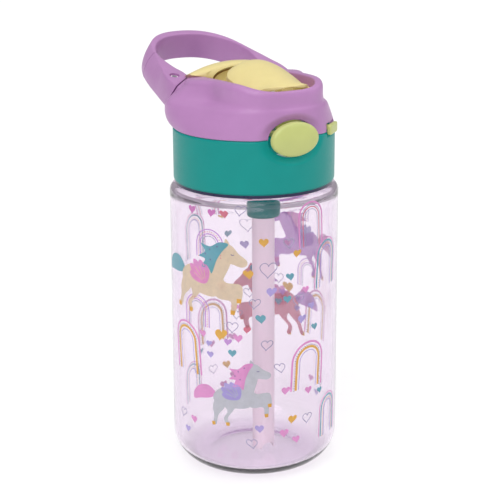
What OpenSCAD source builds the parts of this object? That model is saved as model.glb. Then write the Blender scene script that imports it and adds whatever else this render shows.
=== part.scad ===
// Kids' flip-top water bottle: clear bottle, screw collar, lid, spring-loaded
// flip cover over a soft mouthpiece, push-button latch, side lock, drinking
// straw, and a carry loop with a snap gate.
// Millimetres. Origin at the centre of the base, +Z up, the button faces -Y.

/* [Bottle] */
// Outer diameter of the clear bottle
body_d = 75; // [74.6:0.1:75.6]
// Height of the bottle up to the neck rim
neck_top = 147; // [146.8:0.1:147.2]
// Height where the straight side ends below the shoulder
side_top = 126.5; // [124:0.5:127]
// Outer radius of the rounded bottom edge
base_round = 14; // [12:0.5:15]
// Wall thickness of the bottle
wall = 2.1; // [1.8:0.1:2.4]
// Thickness of the floor
floor_t = 4.5; // [4:0.5:6]

/* [Thread] */
// Outer radius of the neck below the thread
neck_r = 31.2; // [31.1:0.1:31.3]
// Lead of the screw thread, one turn
pitch = 4.5; // [4.4:0.1:4.6]
// Radial height of each thread ridge
ridge_h = 1.3; // [1.1:0.1:1.35]

/* [Collar and lid] */
// Outer diameter of the screw collar
collar_d = 71.2; // [71:0.1:71.4]
// Height of the collar's lower edge
collar_low = 131.5; // [131:0.1:132]
// Height of the joint between collar and lid
seam_z = 154.7; // [154.5:0.1:154.8]
// Half width of the raised rim of the lid
rim_a = 23.2; // [22.6:0.2:24]
// Wall thickness of the lid
lid_wall = 2.2; // [2:0.1:2.4]
// Half width of the opening that the flip cover fills
open_a = 18.3; // [18.2:0.1:18.6]

/* [Button and lock] */
// Width of the oval button
button_w = 22.5; // [21.5:0.5:22.5]
// Height of the oval button
button_h = 14.7; // [14:0.1:14.7]
// Angle of the lock's thumb nub round from the front
lock_at = 41.5; // [40:0.5:43]

/* [Straw] */
// Outer radius of the straw
straw_r = 5; // [4.6:0.1:5]
// Distance of the straw in front of the bottle's axis
straw_y = 8.3; // [8:0.1:8.6]

/* [Carry loop] */
// Tilt of the loop above level
loop_tilt = 15; // [14:0.5:16]
// Half width of the loop
loop_a = 29.5; // [29:0.5:30]
// Half length of the loop's curve
loop_b = 42; // [41:0.5:42.5]
// Width of the loop's band
band_w = 12.5; // [12:0.5:13]
// Thickness of the loop's band
band_t = 5.6; // [5.4:0.1:5.8]

/* [Hidden] */
$fn = 96;

clear = [0.87, 0.80, 0.90, 0.45];
teal = [0.10, 0.62, 0.58];
purple = [0.72, 0.52, 0.74];
yellow = [0.87, 0.83, 0.58];
silicone = [0.92, 0.92, 0.94];
steel = [0.75, 0.76, 0.78];

eps = 0.01;
body_r = body_d / 2;
neck_in = neck_r - 2.2;
collar_r = collar_d / 2;
collar_in = neck_r + 1.9;
seal_r = neck_r + 0.1;
lip_r = neck_r + 0.25;
lip_z = neck_top - 0.7;
deck_low = neck_top + 2;
deck_top = deck_low + 2.6;
foot_in = 9;
foot_out = 20;
foot_rise = 1.4;
thread_turns = 1.75;
thread_low = 134.6;
thread_lag = pitch / 2 - 0.15;
straw_low = 6;
socket_low = 116;
socket_r = 7.2;
tray_low = 163;
tray_top = 164.5;

// Hinge of the flip cover, across the lid
hinge_y = -1;
hinge_z = 171.5;
hinge_pin_r = 1.5;
hinge_bore_r = 1.55;

// Button and latch
button_z = 155;
button_face = 37.9;
latch_z = 155.2;
latch_t = 2;
catch_z = 166.6;
hook_z = 168.2;

// Soft disc under the flip cover
seal_z = 178.65;
seal_t = 1.15;

// Opening of the lid, seen from above
open_b = 26;
open_y = -5;
open_n = 3.4;
rim_b = 33.5;
rim_n = 3.3;

// Arch of the hood behind the flip cover
hood_r = 46;
hood_mid = 180.7 - hood_r;

// Carry loop, in its own tilted plane
loop_y = 12;
loop_z = 165.2;
loop_mid = 24;
loop_n = 2.4;
root_sum = 186;
gate_gap = 1.35;
gate_nose = 42;
gate_u = 16;
gate_swing = 20;
gate_x = -25.6;
gate_pin_r = 1.2;
gate_root_r = 12.5;
ear_half = 2.6;

// ---------- shared shapes ----------

function mix(a, b, t) = a + (b - a) * t;
function smooth(t) = let (c = max(0, min(1, t))) c * c * (3 - 2 * c);
function power(v, n) = sign(v) * pow(abs(v), n);

// A point of a squared-off oval at angle t
function oval_point(a, b, n, t) = [a * power(cos(t), 2 / n), b * power(sin(t), 2 / n)];

// Radius of a squared-off oval in direction t
function oval_radius(a, b, n, t) =
    pow(pow(abs(sin(t)) / a, n) + pow(abs(cos(t)) / b, n), -1 / n);

module oval(a, b, n = 2, steps = 64) {
    polygon([for (i = [0:steps - 1]) oval_point(a, b, n, 360 * i / steps)]);
}

// A closed solid through a list of rings with the same number of points, which
// run clockwise seen from beyond the last ring
module skin(rings) {
    n = len(rings[0]);
    m = len(rings);
    ones = [for (j = [1:n]) 1 / n];
    sides = [for (i = [0:m - 2], j = [0:n - 1], h = [0:1])
        let (k = (j + 1) % n, p = i * n, q = p + n)
            h == 0 ? [p + j, p + k, q + k] : [p + j, q + k, q + j]];
    low = [for (j = [0:n - 1]) [n * m, (j + 1) % n, j]];
    high = [for (j = [0:n - 1]) [n * m + 1, (m - 1) * n + j, (m - 1) * n + (j + 1) % n]];
    points = [for (r = rings) each r];
    polyhedron(concat(points, [ones * rings[0], ones * rings[m - 1]]), concat(low, sides, high));
}

// A ring of tube round a point of a path in the XY plane of the coil
function coil_ring(r, wire, a, z, sides) = [
    for (j = [0:sides - 1]) let (b = 360 * j / sides)
        [(r + wire * cos(b)) * cos(a), (r + wire * cos(b)) * sin(a), z + wire * sin(b)]
];

// A round-wire coil along +Z from z = 0
module coil(r, wire, turns, length, steps = 16, sides = 6) {
    n = ceil(turns * steps);
    rise = length - 2 * wire;
    skin([for (i = [0:n]) coil_ring(r, wire, 360 * turns * i / n, wire + rise * i / n, sides)]);
}

// One thread ridge, from radius r0 to r1, both ends run out
module thread(r0, r1, z0, turns, steps = 48) {
    n = ceil(turns * steps);
    fade = 4;
    skin([for (i = [0:n])
        let (a = 360 * i / steps, z = z0 + pitch * i / steps,
             f = min(1, min(i, n - i) / fade), r = mix(r0, r1, 0.15 + 0.85 * f),
             w0 = 1.05 * sign(r1 - r0), w1 = 0.5 * sign(r1 - r0))
        [[r0, -w0], [r, -w1], [r, w1], [r0, w0]] * [[cos(a), sin(a), 0], [0, 0, 1]]
            + [for (k = [0:3]) [0, 0, z]]]);
}

// Part of a ring between two angles round from the front, in short flats
module arc_band(r0, r1, z0, h, from, to) {
    n = ceil((to - from) / 4);
    function spot(r, i) = let (t = mix(from, to, i / n)) [r * sin(t), -r * cos(t)];
    translate([0, 0, z0])
        linear_extrude(h)
            polygon(concat([for (i = [0:n]) spot(r1, i)], [for (i = [n:-1:0]) spot(r0, i)]));
}

// Places children in the loop's tilted plane, x across, y along, z normal
module in_loop() {
    translate([0, loop_y, loop_z])
        rotate([loop_tilt, 0, 0])
            children();
}

// The half space behind the slanted face where the loop meets the lid
module behind_root(gap = 0) {
    translate([0, 0, root_sum + gap])
        rotate([-45, 0, 0])
            translate([-60, -20, 0])
                cube([120, 140, 120]);
}

// ---------- bottle ----------

module bottle_body() {
    color(clear) {
        inner_r = body_r - wall;
        inner_round = base_round - floor_t;
        rotate_extrude()
            difference() {
                union() {
                    square([body_r - base_round, side_top]);
                    translate([0, base_round])
                        square([body_r, side_top - base_round]);
                    intersection() {
                        translate([body_r - base_round, base_round])
                            circle(base_round);
                        square([body_r, base_round]);
                    }
                    translate([0, side_top - eps])
                        intersection() {
                            translate([body_r - 3.5, 0])
                                circle(3.5);
                            square([body_r, 3.5]);
                        }
                    translate([0, side_top - eps])
                        square([body_r - 3.5, 3.5]);
                    translate([0, side_top])
                        square([neck_r, neck_top - side_top]);
                }
                translate([0, -eps])
                    polygon([[foot_in, 0], [foot_out, 0], [foot_out - 3, foot_rise],
                        [foot_in + 3, foot_rise]]);
                translate([0, base_round])
                    square([inner_r, side_top - base_round - 1.5]);
                translate([0, floor_t])
                    square([inner_r - inner_round, base_round]);
                intersection() {
                    translate([inner_r - inner_round, base_round])
                        circle(inner_round);
                    translate([0, floor_t])
                        square([inner_r, base_round - floor_t]);
                }
                polygon([[0, side_top - 2], [inner_r, side_top - 2],
                    [inner_r - 1, side_top + 0.2], [neck_in, side_top + 3], [0, side_top + 3]]);
                translate([0, side_top])
                    square([neck_in, 40]);
            }
        thread(neck_r - 0.4, neck_r + ridge_h, thread_low, thread_turns);
    }
}

// ---------- collar and what hangs from its deck ----------

module button_prism(grow, from, to) {
    translate([0, -to, button_z])
        rotate([-90, 0, 0])
            linear_extrude(to - from)
                oval(button_w / 2 + grow, button_h / 2 + grow);
}

// Dished recess round the button
module button_dish() {
    hull() {
        button_prism(0.7, 34.2, 34.3);
        button_prism(4.6, 37.6, 37.7);
    }
    button_prism(0.35, 32.4, 37);
}

module lock_slot(from_z, to_z) {
    arc_band(30, 40, from_z, to_z - from_z, lock_at - 9, lock_at + 14.5);
}

module latch_window() {
    translate([-7.2, -36, latch_z - 0.3])
        cube([14.4, 8, latch_t + 0.6]);
}

module screw_collar() {
    color(teal) {
        difference() {
            rotate_extrude()
                difference() {
                    union() {
                        translate([0, collar_low + 1.4])
                            square([collar_r, seam_z - collar_low - 1.8]);
                        translate([0, collar_low])
                            square([collar_r - 1.4, 2]);
                        translate([collar_r - 1.4, collar_low + 1.4])
                            circle(1.4);
                        polygon([[0, seam_z - 0.5], [collar_r, seam_z - 0.5],
                            [collar_r - 0.4, seam_z], [0, seam_z]]);
                    }
                    translate([0, collar_low - 1])
                        square([collar_in, lip_z - collar_low + 1]);
                    translate([0, lip_z - eps])
                        square([lip_r, deck_low - lip_z]);
                    translate([0, deck_top])
                        square([collar_in, 20]);
                }
            translate([0, -straw_y, deck_low - 1])
                cylinder(r = 6.2, h = 6);
            translate([0, 14, deck_low - 1])
                cylinder(r = 2.2, h = 6);
            button_dish();
            latch_window();
            lock_slot(153.3, 160);
        }
        translate([-4, -18.4, deck_top - 0.2])
            cube([8, 1.9, 7]);
        thread(collar_in + 0.4, collar_in - ridge_h + 0.1, thread_low - thread_lag, 1.5);
    }
}

module lid_gasket() {
    color(silicone)
        rotate_extrude()
            difference() {
                translate([neck_in - 0.2, neck_top + 0.05])
                    square([seal_r - neck_in + 0.2, deck_low - neck_top - 0.1]);
                translate([neck_in - 0.2, neck_top + 1])
                    circle(0.5, $fn = 24);
            }
}

module straw_connector() {
    color(teal)
        translate([0, -straw_y, 0])
            rotate_extrude()
                difference() {
                    union() {
                        translate([0, socket_low + 2])
                            square([socket_r, deck_low - socket_low - 2.05]);
                        translate([0, socket_low])
                            square([socket_r - 2, 3]);
                        translate([socket_r - 2, socket_low + 2])
                            circle(2);
                        translate([0, deck_low - 1.65])
                            square([9.6, 1.6]);
                        translate([0, deck_low - 1])
                            square([4.6, 166.2 - deck_low + 1]);
                    }
                    translate([-1, -1])
                        square([3.5, 200]);
                    translate([-1, -1])
                        square([straw_r + 1.05, 141.2]);
                }
}

module connector_seal() {
    color(silicone)
        translate([0, -straw_y, 0])
            rotate_extrude()
                translate([5.4, deck_low + 1.3])
                    circle(0.72, $fn = 32);
}

module straw() {
    color(silicone)
        translate([0, -straw_y, 0])
            difference() {
                translate([0, 0, straw_low])
                    cylinder(r = straw_r, h = 140 - straw_low);
                translate([0, 0, 0])
                    cylinder(r = straw_r - 1.2, h = 150);
                translate([0, 0, straw_low])
                    rotate([90, 0, 0])
                        cylinder(r = 3, h = 20, center = true);
            }
}

module vent_valve() {
    color(silicone)
        translate([0, 14, 0])
            difference() {
                union() {
                    translate([0, 0, deck_low - 0.6])
                        cylinder(r = 4.2, h = 0.55);
                    translate([0, 0, deck_low - 0.3])
                        cylinder(r = 2.1, h = 3.5);
                    translate([0, 0, deck_top + 0.05])
                        cylinder(r1 = 3.2, r2 = 2.4, h = 1.4);
                }
                translate([0, 0, deck_low + 0.6])
                    cylinder(r = 0.6, h = 6);
            }
}

// ---------- lid ----------

// Height of the raised rim along the lid
function rim_z(y) = 177.3 - 0.05 * y - 0.0038 * y * y;

// Levels of the lid's skin: height, share of rim shape in front, radius at the back
LID = [
    [155, 0, 35.5], [157, 0.07, 37.4], [159.5, 0.17, 38.5], [162, 0.29, 38.9],
    [164.5, 0.43, 38.7], [166.8, 0.62, 38], [168.8, 0.86, 36.7], [170.6, 0.97, 35],
    [173.2, 1, 32], [175.3, 1, 29.4], [176.7, 1, 26.5]
];
LID_INSET = [0, 0, 0, 0, 0, 0, 0, 0, 0, 0.5, 1.6];

function lid_radius(k, t) =
    let (front = mix(35.5, oval_radius(rim_a, rim_b, rim_n, t), LID[k][1]) - LID_INSET[k],
         back = LID[k][2], side = t > 180 ? 360 - t : t)
    mix(front, back, smooth((side - 72) / 45));

function lid_ring(k, inset, drop, steps) = [
    for (i = [0:steps - 1])
        let (t = 360 - 360 * i / steps, r = lid_radius(k, t) - inset, y = -r * cos(t),
             rise = smooth((LID[k][0] - 166) / 10) * (rim_z(y) - 177))
        [r * sin(t), y, LID[k][0] + rise - drop]
];

module lid_solid(inset, drop, last, steps = 48) {
    skin([for (k = [0:last]) lid_ring(k, inset, k == 0 ? drop + 2 * inset : drop, steps)]);
}

module open_prism(grow, from, to) {
    translate([0, open_y, from])
        linear_extrude(to - from)
            oval(open_a + grow, open_b + grow, open_n);
}

module gate_axis() {
    in_loop()
        translate([gate_x, gate_u, 0])
            children();
}

module lid_cover() {
    color(purple) {
        difference() {
            lid_solid(0, 0, len(LID) - 1);
            difference() {
                lid_solid(lid_wall, lid_wall - 0.3, len(LID) - 2);
                open_prism(1.8, 166.5, 175.5);
                difference() {
                    behind_root(-4);
                    between_arms(3);
                }
                lid_foot();
            }
            open_prism(0, 160, 190);
            difference() {
                behind_root();
                between_arms(0.7);
            }
            button_dish();
            latch_window();
            lock_slot(150, 158.7);
            loop_socket();
        }
        difference() {
            spigot();
            latch_window();
            button_prism(0.35, 28, 37);
            lock_slot(150, 158.7);
        }
        gate_ear();
    }
}

// Ring that locates the lid inside the collar
module spigot() {
    difference() {
        translate([0, 0, deck_top + 0.4])
            cylinder(r = collar_in - 0.15, h = 4.6);
        translate([0, 0, deck_top])
            cylinder(r = collar_in - 1.75, h = 20);
    }
}

// Thick lower edge of the lid, which the spigot hangs from
module lid_foot() {
    difference() {
        translate([0, 0, 150])
            cylinder(r = 45, h = 8.4);
        translate([0, 0, 149])
            cylinder(r = collar_in - 1.1, h = 12);
    }
}

// Space inside the loop and inside the gate when it is pushed in
module between_arms(gap) {
    intersection() {
        loop_inside(gap);
        union() {
            gate_axis()
                rotate([0, 0, -gate_swing])
                    translate([-gate_x, -gate_u, 0])
                        loop_inside_flat(gap);
            translate([0, -10, 100])
                cube([60, 80, 120]);
        }
    }
}

module loop_inside(gap) {
    in_loop()
        loop_inside_flat(gap);
}

module loop_inside_flat(gap) {
    translate([0, 0, -60])
        linear_extrude(120)
            loop_outline(-band_t - gap);
}

module loop_socket() {
    in_loop()
        translate([23.4, -5, -3.1])
            cube([3.6, 18, 6.2]);
}

module gate_ear() {
    difference() {
        gate_axis()
            translate([0, 0, -ear_half])
                linear_extrude(2 * ear_half)
                    union() {
                        circle(1.95);
                        polygon([[-1.6, 0], [1.7, 0], [3.2, -12.5], [-0.6, -12.5]]);
                    }
        gate_axis()
            cylinder(r = gate_pin_r, h = 30, center = true);
    }
}

// ---------- cradle with the hood behind the cover ----------

module cover_cradle() {
    color(yellow) {
        difference() {
            open_prism(-0.2, tray_low, 173);
            open_prism(-1.6, tray_top, 190);
            translate([-12.5, -32, tray_low - 1])
                cube([19, 10, 4]);
            translate([0, -straw_y, tray_low - 1])
                cylinder(r = 5.2, h = 4);
            translate([0, hinge_y, hinge_z])
                rotate([0, 90, 0])
                    cylinder(r = hinge_bore_r, h = 60, center = true);
        }
        hood();
    }
}

module hood() {
    intersection() {
        open_prism(-0.2, 160, 190);
        translate([0, 30, 0])
            rotate([90, 0, 0])
                linear_extrude(17)
                    difference() {
                        translate([0, hood_mid])
                            circle(hood_r);
                        translate([0, hood_mid])
                            circle(hood_r - 2.4);
                        translate([-40, 100])
                            square([80, tray_top + 4 - 100]);
                    }
        union() {
            translate([-30, 13, 160])
                cube([60, 4.6, 30]);
            translate([0, 13, 0])
                rotate([-18, 0, 0])
                    translate([-30, 0, 100])
                        cube([60, 4, 100]);
        }
    }
    intersection() {
        open_prism(-0.2, 160, 190);
        translate([0, 30, 0])
            rotate([90, 0, 0])
                linear_extrude(14.6)
                    difference() {
                        translate([0, hood_mid])
                            circle(hood_r - 1.2);
                        translate([-40, 100])
                            square([80, tray_top - 0.5 - 100]);
                    }
        translate([-30, 15.4, 160])
            cube([60, 2.2, 30]);
    }
}

// ---------- flip cover ----------

// Sections of the cover: distance along the lid, half width, height, lower edge
COVER = [
    [-30.2, 5.5, 176, 174.6], [-29.2, 8.6, 176.7, 174.2], [-26.5, 11.4, 177.7, 173.2],
    [-22, 13.2, 179.1, 171.5], [-16, 14.3, 180.9, 170.5], [-10, 14.9, 182.5, 170],
    [-5, 14.8, 183.5, 170], [-1, 13.6, 183.8, 170], [2, 11.2, 183.3, 170.5], [4, 8, 182.4, 171]
];

function cover_ring(s, side, top, low) =
    let (w = s[1] - side, crown = 4.4 * pow(s[1] / 14.5, 2))
    concat(
        [for (i = [0:16]) let (u = cos(180 * i / 16))
            [w * u, s[0], s[2] - top - crown * pow(abs(u), 2.4)]],
        [[-w, s[0], s[3] - low], [w, s[0], s[3] - low]]);

module flip_cover() {
    color(yellow)
        difference() {
            union() {
                difference() {
                    skin([for (s = COVER) cover_ring(s, 0, 0, 0)]);
                    skin([for (s = COVER)
                        cover_ring([s[0] * 0.93 - 0.9, s[1], s[2], s[3]], 1.8, 2, 5)]);
                }
                for (side = [-1, 1])
                    translate([side * 11.9 - 2, hinge_y, hinge_z]) {
                        rotate([0, 90, 0])
                            cylinder(r = 3.4, h = 4);
                        translate([0, -3.4, 0])
                            cube([4, 4.2, 8]);
                    }
                translate([-3, -28.9, catch_z])
                    cube([6, 1.5, 8.6]);
                translate([-6, -28.9, catch_z])
                    cube([9, 2.5, 1.4]);
                translate([0, -straw_y, seal_z + seal_t])
                    cylinder(r = 2.2, h = 2);
            }
            translate([0, hinge_y, hinge_z])
                rotate([0, 90, 0])
                    cylinder(r = hinge_bore_r, h = 60, center = true);
        }
}

module cover_pin() {
    color(steel)
        translate([-16.2, hinge_y, hinge_z])
            rotate([0, 90, 0])
                cylinder(r = hinge_pin_r, h = 32.4);
}

module cover_spring() {
    color(steel)
        for (s = [-1, 1])
            translate([s * 6.5 - 1.4, hinge_y, hinge_z])
                rotate([0, 90, 0])
                    coil(2.3, 0.35, 3.5, 2.8);
}

module cover_seal() {
    color(silicone)
        translate([0, -straw_y, seal_z])
            cylinder(r = 3.8, h = seal_t);
}

module mouthpiece() {
    color(silicone)
        translate([0, -straw_y, 0])
            rotate_extrude()
                difference() {
                    union() {
                        translate([0, tray_top + 0.05])
                            square([6.6, 1.2]);
                        translate([0, tray_top + 0.05])
                            square([5.2, 7]);
                        polygon([[0, 171], [5.2, 171], [4.6, 173], [5.3, 176], [4.9, 177.8],
                            [4.2, 178.5], [0, 178.5]]);
                    }
                    translate([-1, 160])
                        square([5.65, 6.4]);
                    translate([-1, 160])
                        square([3.2, 30]);
                }
}

// ---------- button, lock ----------

module release_button() {
    color(yellow) {
        hull() {
            button_prism(0, 34.3, 35.8);
            button_prism(-0.9, 36, 37);
            button_prism(-3.6, 37.4, button_face - 0.3);
            button_prism(-6, 37.4, button_face);
        }
        translate([-6.8, -34.5, latch_z])
            cube([13.6, 10.3, latch_t]);
        translate([-3.2, -26.1, latch_z - 1.7])
            cube([6.4, 1.9, hook_z + 3.2 - latch_z]);
        translate([-3.2, -27.2, hook_z])
            cube([6.4, 2, 1.5]);
    }
}

module button_spring() {
    color(steel)
        translate([0, -24.15, latch_z + 1])
            rotate([-90, 0, 0])
                coil(2, 0.3, 4, 5.7);
}

module lock_slider() {
    color(yellow) {
        arc_band(28.3, 29.9, 160.6, 1.6, -21.5, lock_at + 5);
        arc_band(28.5, 29.7, 155.2, 6.4, lock_at - 4, lock_at + 4);
        arc_band(28.8, 36.2, 155.5, 1.5, lock_at - 4.5, lock_at + 4.5);
        hull()
            for (a = [-6.6, 6.6], z = [154.6, 157.2])
                rotate([0, 0, lock_at + a - 90])
                    translate([35.2, 0, z])
                        rotate([0, 90, 0])
                            cylinder(r = 1, h = 1.8, $fn = 24);
        arc_band(26.8, 29.5, 160.8, 1.2, -21.2, -18.1);
        arc_band(27, 28.2, 161, 8.6, -21, -18.2);
        arc_band(27.1, 28.1, 168.3, 1.4, -20.8, -13);
    }
}

// ---------- carry loop and gate ----------

module loop_outline(grow) {
    translate([0, loop_mid])
        oval(loop_a + grow, loop_b + grow, loop_n, 120);
}

module loop_band() {
    in_loop()
        translate([0, 0, -band_w / 2])
            linear_extrude(band_w)
                difference() {
                    loop_outline(0);
                    loop_outline(-band_t);
                }
}

// Space of the gate, from the lid to the slit
module gate_space(gap) {
    in_loop()
        translate([-50, -20, -20])
            cube([50, gate_nose + 20 + gap, 40]);
}

module handle_loop() {
    color(purple) {
        difference() {
            intersection() {
                loop_band();
                behind_root(0.05);
            }
            gate_space(0.5);
        }
        intersection() {
            in_loop()
                translate([23.5, -4, -3])
                    cube([3.4, 18, 6]);
            difference() {
                behind_root(-3.6);
                behind_root(2);
            }
        }
    }
}

module handle_gate() {
    color(purple)
        difference() {
            intersection() {
                loop_band();
                behind_root(gate_gap);
                gate_space(0);
                union() {
                    gate_axis()
                        cylinder(r = gate_root_r, h = 40, center = true);
                    in_loop()
                        translate([-50, gate_u, -20])
                            cube([50, 40, 40]);
                }
            }
            gate_axis()
                translate([-10, -24, -ear_half - 0.25])
                    cube([20, 27, 2 * ear_half + 0.5]);
            gate_axis()
                cylinder(r = gate_pin_r + 0.05, h = 30, center = true);
            gate_axis()
                translate([0, 0, 1])
                    cylinder(r = 2.2, h = 4.2);
        }
}

module gate_pin() {
    color(steel)
        gate_axis()
            translate([0, 0, -band_w / 2 + 0.8])
                cylinder(r = gate_pin_r, h = band_w - 1.4);
}

module gate_spring() {
    color(steel)
        gate_axis()
            translate([0, 0, ear_half + 0.3])
                coil(1.6, 0.25, 3, 2);
}

// ---------- parts ----------

bottle_body();
screw_collar();
lid_gasket();
straw_connector();
connector_seal();
straw();
vent_valve();
lid_cover();
cover_cradle();
flip_cover();
cover_pin();
cover_spring();
cover_seal();
mouthpiece();
release_button();
button_spring();
lock_slider();
handle_loop();
handle_gate();
gate_pin();
gate_spring();
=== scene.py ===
"""Looks of the kids' water bottle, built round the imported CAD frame.

Shapes are worked out in millimetres in the row frame and made in metres. Angles
round the bottle are in degrees from the front (-Y) towards +X.
"""

from contextlib import contextmanager
import math

import bmesh
import bpy
from mathutils import Matrix, Vector
from mathutils.geometry import delaunay_2d_cdt


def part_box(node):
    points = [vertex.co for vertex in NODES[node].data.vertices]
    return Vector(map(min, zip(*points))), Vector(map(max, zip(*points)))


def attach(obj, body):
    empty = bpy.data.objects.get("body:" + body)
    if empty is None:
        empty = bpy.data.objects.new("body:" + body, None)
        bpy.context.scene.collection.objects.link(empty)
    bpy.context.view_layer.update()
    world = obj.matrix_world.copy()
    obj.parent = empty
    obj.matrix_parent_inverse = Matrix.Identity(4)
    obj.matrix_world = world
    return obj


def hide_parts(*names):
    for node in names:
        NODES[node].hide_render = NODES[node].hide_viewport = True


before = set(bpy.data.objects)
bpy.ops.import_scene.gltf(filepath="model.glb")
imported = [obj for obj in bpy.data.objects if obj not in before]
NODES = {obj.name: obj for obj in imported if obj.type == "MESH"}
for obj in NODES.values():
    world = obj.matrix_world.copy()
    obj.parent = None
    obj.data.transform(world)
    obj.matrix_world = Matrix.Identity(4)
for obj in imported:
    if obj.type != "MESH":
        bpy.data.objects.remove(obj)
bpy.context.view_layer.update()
MM = 0.001


def box_mm(node):
    """Lowest and highest corners of a CAD node, in millimetres."""
    low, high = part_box(node)
    return low / MM, high / MM


# ---------- sizes, from the frame ----------

_, BODY_HIGH = box_mm("bottle_body")
COLLAR_LOW, COLLAR_HIGH = box_mm("screw_collar")
_, BUTTON_HIGH = box_mm("release_button")
PIN_LOW, PIN_HIGH = box_mm("cover_pin")
GATE_PIN_LOW, GATE_PIN_HIGH = box_mm("gate_pin")

BODY_R = BODY_HIGH.x
NECK_TOP = BODY_HIGH.z
SIDE_TOP = NECK_TOP - 20.5
BASE_ROUND = 14
WALL = 2.1
FLOOR = 3.6
NECK_R = BODY_R - 6.3
COLLAR_R = COLLAR_HIGH.x
COLLAR_Z = COLLAR_LOW.z
SEAM_Z = COLLAR_Z + 23.2
LID_BASE = SEAM_Z + 0.3
BUTTON_Z = SEAM_Z + 0.3
BUTTON_A = 11.25
BUTTON_B = 7.35
FRONT = 60  # the dish round the button stays within this many degrees of the front
LID_R = 35.5
LOCK_AT = 41.5
HINGE_Y = (PIN_LOW.y + PIN_HIGH.y) / 2
HINGE_Z = (PIN_LOW.z + PIN_HIGH.z) / 2


# ---------- small helpers ----------

def mix(a, b, t):
    return a + (b - a) * t


def smooth(t):
    t = max(0.0, min(1.0, t))
    return t * t * (3 - 2 * t)


def power(v, n):
    return math.copysign(abs(v) ** n, v)


def spread(start, end, count):
    """count + 1 even steps from start to end."""
    return [mix(start, end, i / count) for i in range(count + 1)]


def angles_round(count):
    """count angles evenly round a circle, in radians."""
    return [2 * math.pi * k / count for k in range(count)]


def arc(cx, cz, r, start, end, count):
    """Points of an arc in the profile plane, angles from +x towards +z."""
    return [(cx + r * math.cos(math.radians(a)), cz + r * math.sin(math.radians(a)))
            for a in spread(start, end, count)]


def curve_through(table, column):
    """A function that passes smoothly through table's rows without overshooting."""
    xs = [row[0] for row in table]
    ys = [row[column] for row in table]
    slopes = [(ys[i + 1] - ys[i]) / (xs[i + 1] - xs[i]) for i in range(len(xs) - 1)]
    tangents = [slopes[0]]
    for a, b in zip(slopes, slopes[1:]):
        tangents.append(0.0 if a * b <= 0 else 2 * a * b / (a + b))
    tangents.append(slopes[-1])

    def value(x):
        x = max(xs[0], min(xs[-1], x))
        i = max(k for k in range(len(xs) - 1) if xs[k] <= x)
        h = xs[i + 1] - xs[i]
        t = (x - xs[i]) / h
        return (ys[i] * (1 + 2 * t) * (1 - t) ** 2 + ys[i + 1] * t * t * (3 - 2 * t)
                + h * tangents[i] * t * (1 - t) ** 2 - h * tangents[i + 1] * t * t * (1 - t))
    return value


def make(name, points, faces, material, body=None, slot=None, replaces=(), sharp=40):
    """A mesh piece from points in millimetres, on a CAD body."""
    mesh = bpy.data.meshes.new(name)
    mesh.from_pydata([Vector(p) * MM for p in points], [], faces)
    mesh.validate()
    piece = bpy.data.objects.new(name, mesh)
    bpy.context.scene.collection.objects.link(piece)
    mesh.materials.append(material)
    finish_mesh(piece, sharp)
    if body:
        settle(piece, body, replaces)
    return piece


@contextmanager
def editing(piece):
    """Lends a piece's mesh as a bmesh and writes it back."""
    bm = bmesh.new()
    bm.from_mesh(piece.data)
    yield bm
    bm.to_mesh(piece.data)
    bm.free()


def finish_mesh(piece, sharp=40):
    """Outward normals, and smooth shading except across sharp edges."""
    with editing(piece) as bm:
        bmesh.ops.remove_doubles(bm, verts=bm.verts, dist=1e-7)
        bmesh.ops.recalc_face_normals(bm, faces=bm.faces)
    piece.data.shade_smooth()
    piece.data.set_sharp_from_angle(angle=math.radians(sharp))


def recolour(piece, material):
    """Leaves material as the piece's only one."""
    piece.data.materials.clear()
    piece.data.materials.append(material)


def settle(piece, body, replaces=()):
    """Says what the piece moves with and which nodes it replaces."""
    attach(piece, body)
    if replaces:
        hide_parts(*replaces)


def grid(rows, columns, wrap_rows=False, wrap_columns=True, start=0):
    """Quads of a grid whose points are listed row by row."""
    faces = []
    for i in range(rows if wrap_rows else rows - 1):
        for j in range(columns if wrap_columns else columns - 1):
            a, b = i, (i + 1) % rows
            c, d = j, (j + 1) % columns
            faces.append((start + a * columns + c, start + a * columns + d,
                          start + b * columns + d, start + b * columns + c))
    return faces


def tube(rings):
    """Points and faces of a closed solid through rings of equally many points."""
    columns = len(rings[0])
    points = [p for ring in rings for p in ring]
    faces = grid(len(rings), columns)
    faces.append(tuple(range(columns - 1, -1, -1)))
    last = (len(rings) - 1) * columns
    faces.append(tuple(range(last, last + columns)))
    return points, faces


def lathe(profile, steps=256, closed=True):
    """Points and faces of a profile of (radius, height) turned round the axis.
    Profile points on the axis become one point each."""
    points, rings = [], []
    for r, z in profile:
        if r < 1e-6:
            rings.append([len(points)])
            points.append((0, 0, z))
        else:
            rings.append(list(range(len(points), len(points) + steps)))
            points += [(r * math.cos(a), r * math.sin(a), z)
                       for a in angles_round(steps)]
    faces = []
    pairs = list(zip(rings, rings[1:])) + ([(rings[-1], rings[0])] if closed else [])
    for low, high in pairs:
        if len(low) == 1 and len(high) == 1:
            continue
        for j in range(steps):
            k = (j + 1) % steps
            if len(low) == 1:
                faces.append((low[0], high[k], high[j]))
            elif len(high) == 1:
                faces.append((low[j], low[k], high[0]))
            else:
                faces.append((low[j], low[k], high[k], high[j]))
    return points, faces


def joined(*shapes):
    """Several (points, faces) as one."""
    points, faces = [], []
    for some_points, some_faces in shapes:
        faces += [tuple(i + len(points) for i in f) for f in some_faces]
        points += list(some_points)
    return points, faces


def superellipse(a, b, n, degrees):
    c, s = math.cos(math.radians(degrees)), math.sin(math.radians(degrees))
    return a * power(c, 2 / n), b * power(s, 2 / n)


def oval_radius(a, b, n, degrees):
    """Radius of a squared-off oval, a across and b along, at an angle from the front."""
    s, c = abs(math.sin(math.radians(degrees))), abs(math.cos(math.radians(degrees)))
    return ((s / a) ** n + (c / b) ** n) ** (-1 / n)


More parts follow.
